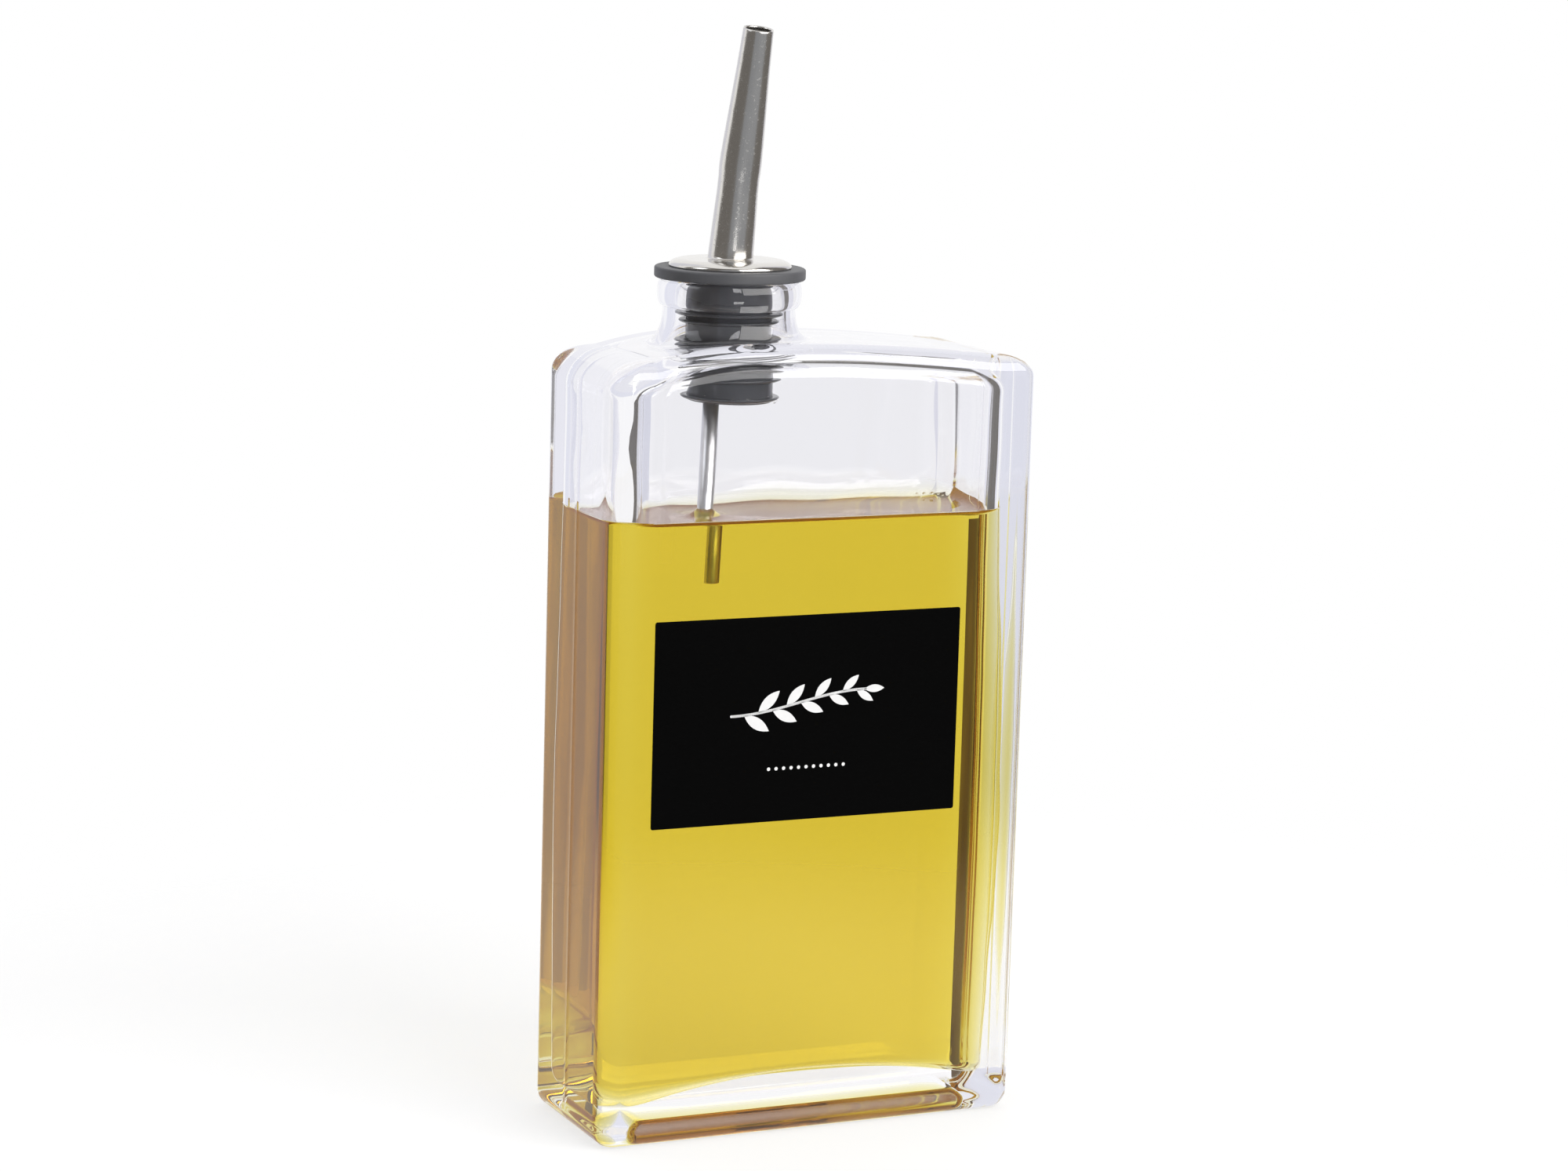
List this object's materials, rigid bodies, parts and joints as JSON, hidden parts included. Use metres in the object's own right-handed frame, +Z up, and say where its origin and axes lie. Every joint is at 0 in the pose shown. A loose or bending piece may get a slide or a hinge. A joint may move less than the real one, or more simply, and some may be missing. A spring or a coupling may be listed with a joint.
{
  "type": "oil dispenser",
  "caption": "Flat rectangular glass bottle of oil with an off-centre neck, a ribbed rubber stopper, a bent steel pouring spout, an air tube and a plain black label.",
  "frame": {"origin": "bottom centre of the bottle, on the surface it stands on", "axes": "+Z up; the labelled front faces -Y; +X runs along the wide face, and the neck stands towards -X"},
  "size_m": [0.1012, 0.0412, 0.2429],
  "materials": {
    "glass": "clear, polished",
    "oil": "clear golden liquid",
    "rubber": "matte dark grey",
    "steel": "polished stainless steel",
    "label": "matte black with white print shapes"
  },
  "bodies": {
    "root": {"bottle": "glass", "oil": "oil", "stopper": "rubber", "collar": "steel", "spout": "steel", "air_tube": "steel", "label": "label"}
  },
  "joints": []
}
